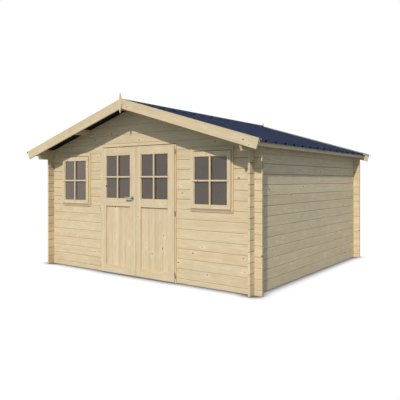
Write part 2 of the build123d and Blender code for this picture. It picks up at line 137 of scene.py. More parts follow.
def spruceMaterial(name, grain, course=None, fold=None, turn=0.0, endShade=0.9, tone=1.0, toneAttribute=None,
                   dustAndShade=0.9, bounceWarmth=1.0, cross=None):
    # grain: axis along the wood. course: (height, start) of the logs, each with a tone of its own.
    # fold: (middle, half) of the two walls across the grain, so that the rings lie in both.
    # dustAndShade: how dark the painted shade and dust in the grooves are. bounceWarmth: how much redder than
    # the rest.
    # cross: (middle, half) of the walls that the logs cross and stand out from.
    look = spruceLook
    material, add = newMaterial(name)
    place = add("ShaderNodeTexCoord")
    turned = add("ShaderNodeMapping", {"Vector": place.outputs["Object"], "Rotation": (0, turn, 0)})
    normal = add("ShaderNodeSeparateXYZ", [place.outputs["Normal"]])
    axes = add("ShaderNodeSeparateXYZ", [turned])
    order = {"x": (0, 2, 1), "y": (1, 2, 0), "z": (2, 0, 1)}[grain]
    along, up, deep = [axes.outputs[i] for i in order]
    if fold:
        aside = add("ShaderNodeMath", [deep, fold[0]], operation="SUBTRACT")
        aside = add("ShaderNodeMath", [aside], operation="ABSOLUTE")
        deep = add("ShaderNodeMath", [aside, fold[1]], operation="SUBTRACT")
    count, local = 0.0, up
    if course:
        height, start = course
        rise = add("ShaderNodeMath", [up, start], operation="SUBTRACT")
        count = add("ShaderNodeMath", [rise, height], operation="DIVIDE")
        count = add("ShaderNodeMath", [count], operation="FLOOR")
        local = add("ShaderNodeMath", [rise, height], operation="FLOORED_MODULO")
    chance = add("ShaderNodeTexWhiteNoise", {"W": count}, noise_dimensions="1D")
    first, second, third = add("ShaderNodeSeparateColor", [chance.outputs["Color"]]).outputs[:3]

    # Each log takes another stretch of the patterns
    slideStep, lengthStep, knotStep = look["logSteps"]
    shift = add("ShaderNodeMath", [first, slideStep], operation="MULTIPLY")
    wood = add("ShaderNodeCombineXYZ", [along, up, deep])
    slide = add("ShaderNodeCombineXYZ", [shift])
    noises = []
    for key in ("streakNoise", "fineNoise", "patchNoise"):
        long, wide, detail, rough = look[key]
        scaled = add("ShaderNodeMapping", {
            "Vector": wood, "Location": slide, "Scale": (1 / (long * mm), 1 / (wide * mm), 1 / (wide * mm))})
        noises.append(add("ShaderNodeTexNoise", {
            "Vector": scaled, "Scale": 1.0, "Detail": detail, "Roughness": rough}))
    streaks, fine, patches = noises

    # Lengths of wood are joined end to end, each a little lighter or darker than the next
    length = add("ShaderNodeMath", [along, 1 / (look["jointEveryMm"] * mm), shift], operation="MULTIPLY_ADD")
    length = add("ShaderNodeMath", [length], operation="FLOOR")
    length = add("ShaderNodeMath", [count, lengthStep, length], operation="MULTIPLY_ADD")
    joined = add("ShaderNodeTexWhiteNoise", {"W": length}, noise_dimensions="1D")

    # Knots lie in cells along the log, and only some cells have one
    long, wide = look["knotEveryMm"]
    lift = add("ShaderNodeMath", [count, knotStep], operation="MULTIPLY")
    scaled = add("ShaderNodeMapping", {
        "Vector": wood, "Location": add("ShaderNodeCombineXYZ", [shift, lift]),
        "Scale": (1 / (long * mm), 1 / (wide * mm), 0.0)})
    cells = add("ShaderNodeTexVoronoi", {"Vector": scaled, "Scale": 1.0}, voronoi_dimensions="2D")
    reach = cells.outputs["Distance"]
    odds = add("ShaderNodeSeparateColor", [cells.outputs["Color"]])
    present = add("ShaderNodeMath", [odds.outputs[1], look["knotShare"]], operation="LESS_THAN")
    size = add("ShaderNodeMapRange", [odds.outputs[0], 0.0, 1.0, *look["knotSizes"]])
    inside = add("ShaderNodeMath", [size, reach], operation="SUBTRACT")
    core = add("ShaderNodeMapRange", [inside, -look["knotSoft"], look["knotSoft"], 0.0, present])
    rim = add("ShaderNodeMapRange", [inside, 0.0, look["knotRimWide"], core, 0.0])
    near = add("ShaderNodeMapRange", [reach, 0.0, look["haloReach"], 1.0, 0.0])
    near = add("ShaderNodeMath", [near, look["haloFade"]], operation="POWER")
    halo = add("ShaderNodeMath", [near, present], operation="MULTIPLY")

    # Year rings lie round a heart that is in another place in each log
    depth = add("ShaderNodeMapRange", [third, 0.0, 1.0, *[value * mm for value in look["pithDepthMm"]]])
    heart = add("ShaderNodeCombineXYZ", [
        add("ShaderNodeMath", [along, look["ringStretch"]], operation="MULTIPLY"),
        add("ShaderNodeMath", [second, -look["pithSpreadMm"] * mm, local], operation="MULTIPLY_ADD"),
        add("ShaderNodeMath", [deep, depth], operation="ADD")])
    bend = add("ShaderNodeMath", [halo, look["ringBend"]], operation="MULTIPLY")
    detail, detailScale = look["ringDetail"]
    rings = add("ShaderNodeTexWave", {
        "Vector": heart, "Scale": look["wavePeriod"] / (look["ringMm"] * mm),
        "Distortion": look["ringWobble"], "Detail": detail, "Detail Scale": detailScale,
        "Phase Offset": bend},
        wave_type="RINGS", rings_direction="X", wave_profile="SAW").outputs["Fac"]

    colour = linear(look["body"])
    for key, pattern in (("pale", streaks), ("streak", fine), ("lateWood", rings), ("blush", third),
                         ("resin", patches), ("halo", halo), ("knot", core), ("knotRim", rim)):
        tint, begin, full, most = look[key]
        share = add("ShaderNodeMapRange", [pattern, begin, full, 0.0, most])
        colour = add("ShaderNodeMix", {0: share, 6: colour, 7: linear(tint)}, data_type="RGBA")
    least, most = look["logTones"]
    brightness = add("ShaderNodeMapRange", [second, 0.0, 1.0, tone + least, tone + most])
    brightness = add("ShaderNodeMath", [joined, look["jointTones"], brightness], operation="MULTIPLY_ADD")
    ends = add("ShaderNodeMath", [normal.outputs[order[0]]], operation="ABSOLUTE")
    ends = add("ShaderNodeMath", [ends, look["endFacing"]], operation="GREATER_THAN")
    if course:
        # Painted shade and dust on the chamfer under each log, and a painted highlight on the chamfer on top
        # of it
        band = look["grooveMm"] * mm
        if cross:
            # Past the crossing the painted groove shade is wider, and the logs differ more
            past = add("ShaderNodeMath", [along, cross[0]], operation="SUBTRACT")
            past = add("ShaderNodeMath", [past], operation="ABSOLUTE")
            past = add("ShaderNodeMath", [past, cross[1]], operation="GREATER_THAN")
            past = add("ShaderNodeMath", [past, ends], operation="SUBTRACT", use_clamp=True)
            differ = add("ShaderNodeMapRange", [third, 0.0, 1.0, *look["overhangTones"]])
            brightness = add("ShaderNodeMath", [past, differ, brightness], operation="MULTIPLY_ADD")
            band = add("ShaderNodeMapRange", [past, 0.0, 1.0, band, band * look["wideGrooveShade"]])
        shadeUnder = add("ShaderNodeMapRange", [local, 0.0, band, dustAndShade, 0.0])
        brow = add("ShaderNodeMath", [height, band], operation="SUBTRACT")
        highlightAbove = add("ShaderNodeMapRange", [local, brow, height, 0.0, look["edgeLight"]])
        for share, tint in ((shadeUnder, look["groove"]), (highlightAbove, look["pale"][0])):
            colour = add("ShaderNodeMix", {0: share, 6: colour, 7: linear(tint)}, data_type="RGBA")
    if toneAttribute:
        stored = add("ShaderNodeAttribute", attribute_name=toneAttribute)
        brightness = add("ShaderNodeMath", [brightness, stored.outputs["Fac"]], operation="ADD")
    # Cut ends differ more from log to log than faces do
    endTone = add("ShaderNodeMapRange", [
        third, 0.0, 1.0, *[endShade - 1.0 + step for step in look["endTones"]]])
    endTone = add("ShaderNodeMath", [ends, endTone, 1.0], operation="MULTIPLY_ADD")
    brightness = add("ShaderNodeMath", [brightness, endTone], operation="MULTIPLY")
    # A redder cast where asked for: painted warm bounce light
    redder = add("ShaderNodeMath", [brightness, bounceWarmth], operation="MULTIPLY")
    shade = add("ShaderNodeCombineColor", [redder, brightness, brightness])
    colour = add("ShaderNodeMix", {0: 1.0, 6: colour, 7: shade}, data_type="RGBA", blend_type="MULTIPLY")
    rough = add("ShaderNodeMapRange", [fine, 0.0, 1.0, *look["roughness"]])
    relief = add("ShaderNodeMath", [rings, look["ringRelief"], fine], operation="MULTIPLY_ADD")
    relief = add("ShaderNodeMath", [core, look["knotRelief"], relief], operation="MULTIPLY_ADD")
    bump = add("ShaderNodeBump", {
        "Height": relief, "Strength": look["bumpStrength"], "Distance": look["bumpMm"] * mm})
    shader = add("ShaderNodeBsdfPrincipled", {
        "Base Color": colour, "Roughness": rough, "Specular IOR Level": look["specular"], "Normal": bump})
    add("ShaderNodeOutputMaterial", [shader])
    return material


# Where the roof and the walls lie, as in the frame model: the walls' logs lie in courses, half a log apart
roofForm = {"pitchDegrees": 16.87, "ridgeSeat": 2.41467}
wallForm = {"logHeight": 0.13, "sideFold": (0.0, 1.881), "gableFold": (0.1, 1.756), "crossing": (0.1, 1.771)}
pitch = math.radians(roofForm["pitchDegrees"])
sideCourse = (wallForm["logHeight"], 0.0)
gableCourse = (wallForm["logHeight"], wallForm["logHeight"] / 2)

logsAcross = spruceMaterial("spruceLogsAcross", "x", gableCourse, wallForm["gableFold"],
                            endShade=0.57, tone=1.012)
gableLogs = spruceMaterial("spruceGableLogs", "x", gableCourse, wallForm["gableFold"],
                           endShade=0.55, dustAndShade=0.12)
# The side walls' logs are toned darker: a painted shade on the side walls
logsAlong = spruceMaterial("spruceLogsAlong", "y", sideCourse, wallForm["sideFold"],
                           endShade=1.085, tone=0.96, cross=wallForm["crossing"])
roofTimber = spruceMaterial("spruceRoofTimber", "y", fold=wallForm["sideFold"], endShade=0.95)
leftSlopeBoard = spruceMaterial("spruceLeftSlopeBoard", "x", turn=pitch, tone=1.02)
rightSlopeBoard = spruceMaterial("spruceRightSlopeBoard", "x", turn=-pitch, tone=1.02)
uprightJoinery = spruceMaterial("spruceUprightJoinery", "z", tone=1.045)
levelJoinery = spruceMaterial("spruceLevelJoinery", "x", tone=1.045)
barSpruce = spruceMaterial("spruceGlazingBars", "z", tone=1.04)
panelSpruce = spruceMaterial("sprucePanelBoards", "z", tone=1.03, toneAttribute="boardTone")
# The sills are a lighter tone, and redder as a painted warm bounce light on their shaded faces
sillSpruce = spruceMaterial("spruceSills", "x", tone=1.2, bounceWarmth=1.06)

# Coil-coated roofing steel: a thin satin paint in dark slate blue, with faint roller streaks down the sheet,
# and faces that look down painted near-black, a painted shade. The strips over the barge boards are the same
# steel in pale stone, with their downward faces painted pale, a painted light.
steelLooks = {
    "coatedRoofSteel": {"paint": "#25314a", "streak": "#202a42", "undersideShading": "#100e12"},
    "coatedTrimSteel": {"paint": "#a39d90", "streak": "#999387", "undersideShading": "#d2cdc2"},
}
# underside: faces that look down more than this get the painted underside shade or light
steelSurface = {"streakMm": (14.0, 666.667), "grainMm": 1.5, "roughness": (0.55, 0.7), "bumpMm": 0.2,
                "bumpStrength": 0.15, "specular": 0.08, "underside": -0.02}


def steelMaterial(name):
    look, surface = steelLooks[name], steelSurface
    material, add = newMaterial(name)
    place = add("ShaderNodeTexCoord")
    facing = add("ShaderNodeSeparateXYZ", [place.outputs["Normal"]])
    # Faces that look down are painted: near-black painted shade on the roof sheets, pale painted light on the
    # trim strips
    downFacing = add("ShaderNodeMath", [facing.outputs[2], surface["underside"]], operation="LESS_THAN")
    wide, long = surface["streakMm"]
    drawn = add("ShaderNodeMapping", {
        "Vector": place.outputs["Object"], "Scale": (1 / (long * mm), 1 / (wide * mm), 1 / (long * mm))})
    streaks = add("ShaderNodeTexNoise", {"Vector": drawn, "Scale": 1.0, "Detail": 2.0})
    grain = add("ShaderNodeTexNoise", {
        "Vector": place.outputs["Object"], "Scale": 1 / (surface["grainMm"] * mm), "Detail": 1.0})
    paint = add("ShaderNodeMix", {
        0: streaks, 6: linear(look["paint"]), 7: linear(look["streak"])}, data_type="RGBA")
    shadedPaint = add("ShaderNodeMix", {0: downFacing, 6: paint, 7: linear(look["undersideShading"])}, data_type="RGBA")
    rough = add("ShaderNodeMapRange", [streaks, 0.0, 1.0, *surface["roughness"]])
    bump = add("ShaderNodeBump", {
        "Height": grain, "Strength": surface["bumpStrength"], "Distance": surface["bumpMm"] * mm})
    shader = add("ShaderNodeBsdfPrincipled", {
        "Base Color": shadedPaint, "Roughness": rough, "Specular IOR Level": surface["specular"], "Normal": bump})
    add("ShaderNodeOutputMaterial", [shader])
    return material


# Metal fittings: bronze-passivated zinc plating is brown and a little mottled, screws keep a yellow
# passivation, and the cast alloy of the lever is satin with fine brushing
metalLooks = {
    "bronzePassivatedZinc": {
        "light": "#b7a48a", "dark": "#998770", "patchMm": (9.0, 9.0, 9.0), "rough": (0.4, 0.55)},
    "yellowPassivatedZinc": {
        "light": "#b39b63", "dark": "#957c49", "patchMm": (4.0, 4.0, 4.0), "rough": (0.35, 0.5)},
    "satinAlloy": {
        "light": "#a6a8a7", "dark": "#878989", "patchMm": (30.0, 1.2, 1.2), "rough": (0.3, 0.42)},
}


def metalMaterial(name):
    look = metalLooks[name]
    material, add = newMaterial(name)
    place = add("ShaderNodeTexCoord")
    scaled = add("ShaderNodeMapping", {
        "Vector": place.outputs["Object"], "Scale": [1 / (size * mm) for size in look["patchMm"]]})
    patches = add("ShaderNodeTexNoise", {"Vector": scaled, "Scale": 1.0, "Detail": 3.0})
    tint = add("ShaderNodeMix", {
        0: patches, 6: linear(look["light"]), 7: linear(look["dark"])}, data_type="RGBA")
    rough = add("ShaderNodeMapRange", [patches, 0.0, 1.0, *look["rough"]])
    shader = add("ShaderNodeBsdfPrincipled", {"Base Color": tint, "Roughness": rough, "Metallic": 1.0})
    add("ShaderNodeOutputMaterial", [shader])
    return material


# Float glass: clear and smooth, with a faint grey film over it, lighter on the left leaf and lighter still on
# the left window
glassLooks = {
    "clearFloatGlass": {"film": "#61574f", "clearFilm": "#564d47", "alpha": 0.7},
    "paleFilmFloatGlass": {"film": "#6a5e54", "clearFilm": "#5f544b", "alpha": 0.7},
    "palerFilmFloatGlass": {"film": "#796c62", "clearFilm": "#6e6259", "alpha": 0.72},
}
glassSurface = {"patchMm": 260.0, "roughness": 0.02, "ior": 1.5, "specular": 0.9}


def glassMaterial(name):
    look, surface = glassLooks[name], glassSurface
    material, add = newMaterial(name)
    place = add("ShaderNodeTexCoord")
    patches = add("ShaderNodeTexNoise", {
        "Vector": place.outputs["Object"], "Scale": 1 / (surface["patchMm"] * mm), "Detail": 2.0})
    film = add("ShaderNodeMix", {
        0: patches, 6: linear(look["film"]), 7: linear(look["clearFilm"])}, data_type="RGBA")
    shader = add("ShaderNodeBsdfPrincipled", {
        "Base Color": film, "Roughness": surface["roughness"], "IOR": surface["ior"],
        "Specular IOR Level": surface["specular"], "Alpha": look["alpha"]})
    add("ShaderNodeOutputMaterial", [shader])
    return material


roofSteel = steelMaterial("coatedRoofSteel")
trimSteel = steelMaterial("coatedTrimSteel")
hingeZinc = metalMaterial("bronzePassivatedZinc")
screwZinc = metalMaterial("yellowPassivatedZinc")
satinAlloy = metalMaterial("satinAlloy")
clearGlass = glassMaterial("clearFloatGlass")
paleFilmGlass = glassMaterial("paleFilmFloatGlass")
palerFilmGlass = glassMaterial("palerFilmFloatGlass")
print("finishes made")


# Members of the frame model and their finishes

def dress(material, *names):
    for name in names:
        nodes[name].data.materials.clear()
        nodes[name].data.materials.append(material)


joinery = {"glassEdgeMm": 8.0, "panelTongueMm": 10.0, "casingFaceMm": 45.0, "slackMm": 0.6}
slack = joinery["slackMm"] * mm


def opening(name, edgeMm):
    # Clear opening that a pane or panel fills, as x0, x1, z0, z1
    low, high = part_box(name)
    edge = edgeMm * mm
    return low.x + edge, high.x - edge, low.z + edge, high.z - edge


def dressFrame(name, isLevel):
    # Stiles have their grain upright and rails have it level
    mesh = nodes[name].data
    mesh.materials.clear()
    mesh.materials.append(uprightJoinery)
    mesh.materials.append(levelJoinery)
    for face in mesh.polygons:
        face.material_index = 1 if isLevel(face.center) else 0


dress(logsAcross, "front_wall_left", "front_wall_right", "back_wall")
dress(gableLogs, "front_gable", "back_gable")
dress(logsAlong, "left_wall", "right_wall")
dress(roofTimber, "ridge_purlin", "left_purlin", "right_purlin", "left_eave_board", "right_eave_board")
dress(leftSlopeBoard, "front_left_barge_board", "back_left_barge_board")
dress(rightSlopeBoard, "front_right_barge_board", "back_right_barge_board")
dress(uprightJoinery, "front_finial", "back_finial", "door_left_jamb", "door_right_jamb")
dress(levelJoinery, "door_head", "door_threshold")
dress(sillSpruce, "left_window_sill", "right_window_sill")
dress(roofSteel, "left_roof_sheet", "right_roof_sheet", "ridge_cap")
dress(trimSteel, "front_verge_trim", "back_verge_trim")
dress(clearGlass, "right_window_glass", "right_door_glass")
dress(paleFilmGlass, "left_door_glass")
dress(palerFilmGlass, "left_window_glass")
for side in ("left", "right"):
    low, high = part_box(f"{side}_window_casing")
    face = joinery["casingFaceMm"] * mm
    dressFrame(f"{side}_window_casing", lambda p: p.z > high.z - face - slack
               or low.x + face < p.x < high.x - face)
    x0, x1, z0, z1 = opening(f"{side}_window_glass", joinery["glassEdgeMm"])
    dressFrame(f"{side}_window_sash", lambda p: x0 - slack < p.x < x1 + slack
               and not z0 - slack < p.z < z1 + slack)
    x0, x1, z0, z1 = opening(f"{side}_door_glass", joinery["glassEdgeMm"])
    panelLow, panelHigh = opening(f"{side}_door_panel", joinery["panelTongueMm"])[2:]
    dressFrame(f"{side}_door_frame", lambda p: x0 - slack < p.x < x1 + slack
               and not z0 - slack < p.z < z1 + slack and not panelLow - slack < p.z < panelHigh + slack)

# Sawn boards and planed joinery have their edges eased
easing = {"boardMm": 2.0, "joineryMm": 1.5, "sharpDegrees": 40.0, "steps": 2, "weldMm": 0.01}


def ease(name, widthMm):
    weld = nodes[name].modifiers.new("weld", "WELD")
    weld.merge_threshold = easing["weldMm"] * mm
    bevel = nodes[name].modifiers.new("easedEdges", "BEVEL")
    bevel.limit_method = "ANGLE"
    bevel.angle_limit = math.radians(easing["sharpDegrees"])
    bevel.width = widthMm * mm
    bevel.segments = easing["steps"]


for name in ("front_left_barge_board", "front_right_barge_board", "back_left_barge_board",
             "back_right_barge_board", "front_finial", "back_finial", "left_eave_board", "right_eave_board"):
    ease(name, easing["boardMm"])
for side in ("left", "right"):
    for part in ("door_frame", "window_sash", "window_casing", "window_sill"):
        ease(f"{side}_{part}", easing["joineryMm"])
print("members dressed")


# Tools for new pieces

def newPiece(name, mesh, material, body):
    piece = bpy.data.objects.new(name, mesh)
    bpy.context.scene.collection.objects.link(piece)
    return settle(piece, material, body)


def settle(piece, material, body):
    piece.data.materials.clear()
    piece.data.materials.append(material)
    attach(piece, body)
    return piece


def meshOf(work, name, smoothAngle=None):
    bmesh.ops.remove_doubles(work, verts=work.verts, dist=1e-6)
    bmesh.ops.recalc_face_normals(work, faces=work.faces)
    mesh = bpy.data.meshes.new(name)
    work.to_mesh(mesh)
    work.free()
    if smoothAngle:
        mesh.shade_smooth()
        mesh.set_sharp_from_angle(angle=math.radians(smoothAngle))
    return mesh


def newTree(name, sockets):
    tree = bpy.data.node_groups.new(name, "GeometryNodeTree")
    tree.interface.new_socket("Geometry", in_out="INPUT", socket_type="NodeSocketGeometry")
    for label, kind in sockets.items():
        tree.interface.new_socket(label, in_out="INPUT", socket_type="NodeSocket" + kind)
    tree.interface.new_socket("Geometry", in_out="OUTPUT", socket_type="NodeSocketGeometry")
    return tree, partial(addNode, tree), tree.nodes.new("NodeGroupInput").outputs


def closeTree(tree, shape, material):
    plain = addNode(tree, "GeometryNodeRealizeInstances", [shape])
    painted = addNode(tree, "GeometryNodeSetMaterial", {"Geometry": plain, "Material": material})
    addNode(tree, "NodeGroupOutput", [painted])


def grow(name, tree, values, mesh=None):
    piece = bpy.data.objects.new(name, mesh or bpy.data.meshes.new(name))
    bpy.context.scene.collection.objects.link(piece)
    modifier = piece.modifiers.new(tree.name, "NODES")
    modifier.node_group = tree
    for item in tree.interface.items_tree:
        if item.in_out == "INPUT" and item.name in values:
            modifier[item.identifier] = values[item.name]
    evaluated = piece.evaluated_get(bpy.context.evaluated_depsgraph_get())
    plain = bpy.data.meshes.new_from_object(evaluated)
    piece.modifiers.clear()
    piece.data = plain
    return piece


def sweepBar(work, start, end, across, out, profile):
    # Straight bar from start to end. profile: (across, out) points of its section.
    rings = []
    for point in (start, end):
        rings.append([work.verts.new(Vector(point) + across * a + out * b) for a, b in profile])
    count = len(profile)
    for i in range(count):
        work.faces.new([rings[0][i], rings[0][(i + 1) % count], rings[1][(i + 1) % count], rings[1][i]])
    work.faces.new(rings[0])
    work.faces.new(rings[1])


def mitredFrame(work, x0, x1, z0, z1, profile):
    # Strip round an opening, its section given as (inset, y) points, with mitred corners
    loops = []
    for inset, y in profile:
        left, right, bottom, top = x0 + inset, x1 - inset, z0 + inset, z1 - inset
        corners = ((left, bottom), (right, bottom), (right, top), (left, top))
        loops.append([work.verts.new((x, y, z)) for x, z in corners])
    count = len(profile)
    for i in range(count):
        near, far = loops[i], loops[(i + 1) % count]
        for j in range(4):
            k = (j + 1) % 4
            work.faces.new([near[j], near[k], far[k], far[j]])


# Wall plates: as in the frame model, but with their front ends cut steeply just behind the barge boards
plateNoses = {"reachMm": 140.0, "cutMm": 18.0}


def makeWallPlate(side):
    node = f"{side}_wall_plate"
    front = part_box(node)[0].y
    reach, cut = plateNoses["reachMm"] * mm, plateNoses["cutMm"] * mm
    work = bmesh.new()
    work.from_mesh(nodes[node].data)
    for vertex in work.verts:
        if vertex.co.y < front + reach + slack:
            vertex.co.y = front + (vertex.co.y - front) * cut / reach
    piece = newPiece(f"{side}WallPlate", meshOf(work, f"{side}WallPlate"), roofTimber, "shed")
    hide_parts(node)


for side in ("left", "right"):
    makeWallPlate(side)
print("wall plates made")

# Crossed glazing bars laid on both faces of each leaf and sash, and a small bead round each pane
glazing = {"barMm": 22.0, "barDepthMm": 14.0, "barProudMm": 8.0, "barChamferMm": 2.5, "lapMm": 20.0,
           "seatMm": 0.2, "beadMm": 5.0, "beadShape": ((1.0, 0.0), (0.8, 0.6), (0.3, 1.0))}


def makeGlazing(name, body, glassNode, frameNode):
    look = glazing
    x0, x1, z0, z1 = opening(glassNode, joinery["glassEdgeMm"])
    glassLow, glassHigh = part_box(glassNode)
    frameLow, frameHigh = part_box(frameNode)
    half, chamfer, seat = look["barMm"] * mm / 2, look["barChamferMm"] * mm, look["seatMm"] * mm
    proud, lap, bead = look["barProudMm"] * mm, look["lapMm"] * mm, look["beadMm"] * mm
    sunk = look["barDepthMm"] * mm - proud
    middleX, middleZ = (x0 + x1) / 2, (z0 + z1) / 2

    def section(back):
        return [(-half, back), (-half, proud - chamfer), (-half + chamfer, proud), (half - chamfer, proud),
                (half, proud - chamfer), (half, back)]

    upright, level = Vector((1, 0, 0)), Vector((0, 0, 1))
    work = bmesh.new()
    for pane, face, way in ((glassLow.y, frameLow.y, -1), (glassHigh.y, frameHigh.y, 1)):
        out = Vector((0, way, 0))
        # Each bar stands in the opening, and its ends are halved to lap the frame's face
        for back, spans in ((-sunk, ((z0 + seat, z1 - seat),)), (seat, ((z0 - lap, z0), (z1, z1 + lap)))):
            for start, end in spans:
                sweepBar(work, (middleX, face, start), (middleX, face, end), upright, out, section(back))
        for back, spans in ((-sunk, ((x0 + seat, middleX - half), (middleX + half, x1 - seat))),
                            (seat, ((x0 - lap, x0), (x1, x1 + lap)))):
            for start, end in spans:
                sweepBar(work, (start, face, middleZ), (end, face, middleZ), level, out, section(back))
        root = pane + way * seat
        strip = [(bead * inset, root + way * bead * rise) for inset, rise in look["beadShape"]]
        strip += [(seat, root + way * bead), (seat, root)]
        mitredFrame(work, x0, x1, z0, z1, strip)
    newPiece(name, meshOf(work, name), barSpruce, body)


for side in ("left", "right"):
    makeGlazing(f"{side}WindowBars", "shed", f"{side}_window_glass", f"{side}_window_sash")
    makeGlazing(f"{side}DoorBars", f"{side}_door", f"{side}_door_glass", f"{side}_door_frame")
print("glazing bars and beads made")

# Door panels of upright boards with eased edges
boards = {"count": 4, "easeMm": 3.2, "gapMm": 0.6, "toneSpread": 0.07, "seed": 5}


def boardTree():
    tree, add, given = newTree("boardedPanel", {
        "Count": "Int", "Width": "Float", "Gap": "Float", "Ease": "Float", "Start": "Vector", "Top": "Vector",
        "Thickness": "Float", "Spread": "Float", "Seed": "Int", "Material": "Material"})
    width = add("ShaderNodeMath", [given["Width"], given["Gap"]], operation="SUBTRACT")
    section = add("GeometryNodeCurvePrimitiveQuadrilateral", {"Width": width, "Height": given["Thickness"]})
    eased = add("GeometryNodeFilletCurve", {0: section, "Count": 2, "Radius": given["Ease"]}, mode="POLY")
    spine = add("GeometryNodeCurvePrimitiveLine", {"Start": (0, 0, 0), "End": given["Top"]})
    board = add("GeometryNodeCurveToMesh", {0: spine, 1: eased, "Fill Caps": True})
    step = add("ShaderNodeCombineXYZ", [given["Width"]])
    row = add("GeometryNodeMeshLine", {
        "Count": given["Count"], "Start Location": given["Start"], "Offset": step})
    placed = add("GeometryNodeInstanceOnPoints", {0: row, "Instance": board})
    darker = add("ShaderNodeMath", [given["Spread"], -1.0], operation="MULTIPLY")
    tone = add("FunctionNodeRandomValue", {
        2: darker, 3: given["Spread"], "Seed": given["Seed"]}, data_type="FLOAT")
    toned = add("GeometryNodeStoreNamedAttribute", {
        0: placed, "Name": "boardTone", "Value": tone}, data_type="FLOAT", domain="INSTANCE")
    closeTree(tree, toned, given["Material"])
    return tree


def makeDoorBoards(tree, number, side):
    look = boards
    low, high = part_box(f"{side}_door_panel")
    width = (high.x - low.x) / look["count"]
    piece = grow(f"{side}DoorBoards", tree, {
        "Count": look["count"], "Width": width, "Gap": look["gapMm"] * mm, "Ease": look["easeMm"] * mm,
        "Start": (low.x + width / 2, (low.y + high.y) / 2, low.z), "Top": (0.0, 0.0, high.z - low.z),
        "Thickness": high.y - low.y, "Spread": look["toneSpread"], "Seed": look["seed"] + number,
        "Material": panelSpruce})
    settle(piece, panelSpruce, f"{side}_door")
    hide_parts(f"{side}_door_panel")


panelTree = boardTree()
for number, side in enumerate(("left", "right")):
    makeDoorBoards(panelTree, number, side)
print("door boards made")

# Lever handle of cast alloy on round roses, on both faces of the left leaf
handle = {
    "neckMm": 8.5, "gripMm": (6.5, 14.0), "liftMm": 11.0, "bendMm": 22.0, "bendSteps": 8, "projectionMm": 9.0,
    "roseMm": 8.0, "roseRadiusMm": 26.0, "boreMm": 9.0, "spindleMm": 7.0, "sides": 24,
    # Rose from its rim inwards, in shares of radius and thickness, and how deep neck and spindle stand in it
    "roseShape": ((1.0, 0.0), (1.0, 0.55), (0.95, 0.9), (0.87, 1.0), (0.62, 1.0), (0.56, 0.88)),
    "neckSunk": 0.6, "spindleSunk": 0.7,
    # Grip towards its tip, as shares of its length and thickness
    "gripShape": ((0.5, 1.0), (0.92, 1.0), (0.965, 0.86), (0.99, 0.55), (1.0, 0.2)),
}


def sweepTube(work, points, radii, sides):
    # Oval bar along a level path: radii are (level, upright) at each point
    rings = []
    for i, point in enumerate(points):
        ahead = (points[min(i + 1, len(points) - 1)] - points[max(i - 1, 0)]).normalized()
        across = ahead.cross(Vector((0, 0, 1)))
        ring = []
        for j in range(sides):
            turn = 2 * math.pi * j / sides
            ring.append(work.verts.new(point + across * radii[i][0] * math.cos(turn)
                                       + Vector((0, 0, radii[i][1] * math.sin(turn)))))
        rings.append(ring)
    for near, far in zip(rings, rings[1:]):
        for j in range(sides):
            k = (j + 1) % sides
            work.faces.new([near[j], near[k], far[k], far[j]])
    work.faces.new(rings[0])
    work.faces.new(rings[-1])


def turned(work, centre, section, sides):
    # Closed section of (radius, y) points turned about an axis along Y
    rings = []
    for j in range(sides):
        turn = 2 * math.pi * j / sides
        aside, up = math.cos(turn), math.sin(turn)
        rings.append([work.verts.new((centre.x + r * aside, y, centre.z + r * up)) for r, y in section])
    count = len(section)
    for j in range(sides):
        near, far = rings[j], rings[(j + 1) % sides]
        for i in range(count):
            k = (i + 1) % count
            work.faces.new([near[i], near[k], far[k], far[i]])


def makeHandle():
    look = handle
    roseLow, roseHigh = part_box("handle_roses")
    leverLow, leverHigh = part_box("lever_handle")
    centre = (roseLow + roseHigh) / 2
    roseThick, radius, bore = look["roseMm"] * mm, look["roseRadiusMm"] * mm, look["boreMm"] * mm
    work = bmesh.new()
    for outer, way in ((roseLow.y, -1), (roseHigh.y, 1)):
        base = outer - way * roseThick
        section = [(bore, base)]
        section += [(radius * size, base + way * roseThick * rise) for size, rise in look["roseShape"]]
        section.append((bore, section[-1][1]))
        turned(work, centre, section, look["sides"] * 2)
    mesh = meshOf(work, "leverRoses", smoothAngle=35)
    piece = newPiece("leverRoses", mesh, satinAlloy, "left_door")
    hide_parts("handle_roses")
    work = bmesh.new()
    neck, bend, lift, spindle = [look[key] * mm for key in ("neckMm", "bendMm", "liftMm", "spindleMm")]
    grip = [size * mm for size in look["gripMm"]]
    for outer, rose, way in ((leverLow.y, roseLow.y, -1), (leverHigh.y, roseHigh.y, 1)):
        reach = outer - way * look["projectionMm"] * mm
        root = rose - way * roseThick * look["neckSunk"]
        points = [Vector((centre.x, y, centre.z)) for y in (root, reach - way * bend)]
        radii = [(neck, neck), (neck, neck)]
        for step in range(1, look["bendSteps"] + 1):
            share = step / look["bendSteps"]
            turn = math.radians(90 * share)
            points.append(Vector((centre.x - bend * (1 - math.cos(turn)),
                                  reach - way * bend * (1 - math.sin(turn)), centre.z + lift * share)))
            radii.append([neck + (size - neck) * share for size in grip])
        start = points[-1].x
        for share, size in look["gripShape"]:
            points.append(Vector((start + (leverLow.x - start) * share, reach, centre.z + lift)))
            radii.append((grip[0] * size, grip[1] * size))
        sweepTube(work, points, radii, look["sides"])
    sunk = roseThick * look["spindleSunk"]
    ends = [Vector((centre.x, y, centre.z)) for y in (roseLow.y + sunk, roseHigh.y - sunk)]
    sweepTube(work, ends, [(spindle, spindle)] * 2, look["sides"])
    mesh = meshOf(work, "leverGrips", smoothAngle=40)
    piece = newPiece("leverGrips", mesh, satinAlloy, "handle")
    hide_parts("lever_handle")


makeHandle()
print("lever handle made")

